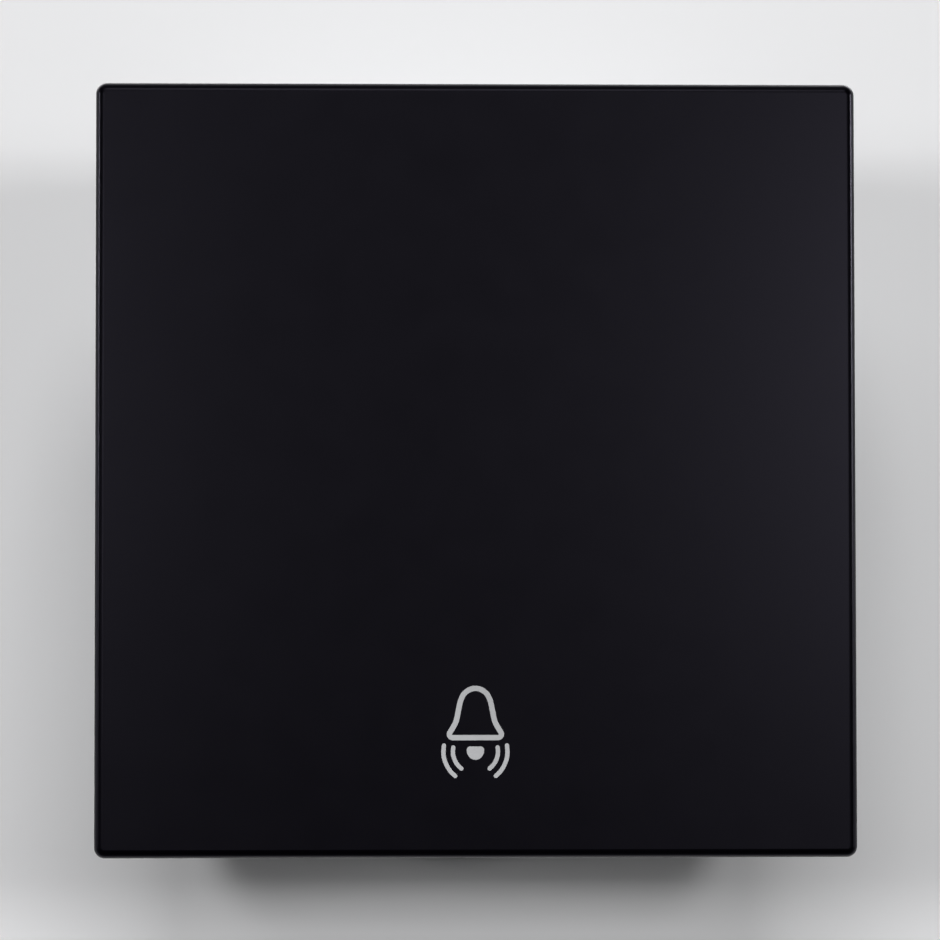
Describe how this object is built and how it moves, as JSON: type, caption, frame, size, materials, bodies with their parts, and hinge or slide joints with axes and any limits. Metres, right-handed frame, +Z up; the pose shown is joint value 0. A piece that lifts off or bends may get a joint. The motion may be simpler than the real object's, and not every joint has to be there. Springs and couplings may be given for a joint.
{
  "type": "doorbell push button",
  "caption": "Flush modular doorbell push button: a full-face square key hinged at its top edge presses a sprung contact in the body behind.",
  "frame": {"origin": "centre of the seat plane, the rear face of the carrier's flange that rests on the support", "axes": "+Z up, -Y out of the wall towards the person who presses, +Y into the wall, +X to the right seen from the front"},
  "size_m": [0.0442, 0.033, 0.045],
  "materials": {
    "key_black": "fine matte",
    "carrier_black": "satin",
    "rocker_black": "satin",
    "housing_grey": "satin",
    "cover_grey": "satin",
    "plunger_white": "smooth",
    "lever_orange": "smooth",
    "contact_silver": "satin",
    "bar_brass": "stamped",
    "bridge_copper": "stamped",
    "spring_steel": "drawn",
    "screw_steel": "zinc plated"
  },
  "bodies": {
    "base": {"carrier_frame": "carrier_black", "rear_housing": "housing_grey", "rear_cover": "cover_grey", "chamber_cover": "cover_grey", "return_spring": "spring_steel", "fixed_contact_left": "contact_silver", "fixed_contact_right": "contact_silver", "terminal_bar_left": "bar_brass", "terminal_bar_right": "bar_brass", "clamp_spring_left": "spring_steel", "clamp_spring_right": "spring_steel", "housing_screws": "screw_steel"},
    "key": {"key_cap": "key_black", "rocker_plate": "rocker_black"},
    "plunger": {"plunger": "plunger_white", "contact_spring": "spring_steel"},
    "bridge": {"contact_bridge": "bridge_copper", "bridge_contacts": "contact_silver"},
    "lever_left": {"release_lever_left": "lever_orange"},
    "lever_right": {"release_lever_right": "lever_orange"}
  },
  "joints": [
    {"name": "key_press", "type": "hinge", "parent": "base", "child": "key", "pos_m": [0, -0.0036, 0.017], "axis": [1, 0, 0], "range_deg": [0, 3.3], "stiffness_Nm_per_rad": 0.4, "springref_deg": -2.86},
    {"name": "plunger_slide", "type": "slide", "parent": "base", "child": "plunger", "axis": [0, 1, 0], "range_m": [0, 0.00098], "deforming": ["return_spring"]},
    {"name": "bridge_slide", "type": "slide", "parent": "base", "child": "bridge", "axis": [0, 1, 0], "range_m": [0, 0.00058], "deforming": ["contact_spring"]},
    {"name": "lever_left_press", "type": "slide", "parent": "base", "child": "lever_left", "axis": [0, -1, 0], "range_m": [0, 0.0012], "stiffness_N_per_m": 1500, "springref_m": -0.002, "deforming": ["clamp_spring_left"]},
    {"name": "lever_right_press", "type": "slide", "parent": "base", "child": "lever_right", "axis": [0, -1, 0], "range_m": [0, 0.0012], "stiffness_N_per_m": 1500, "springref_m": -0.002, "deforming": ["clamp_spring_right"]}
  ],
  "couplings": [
    {"joint": "plunger_slide", "follows": "key_press", "m_per_rad": 0.017},
    {"joint": "bridge_slide", "follows": "key_press", "m_per_rad": 0.01}
  ]
}
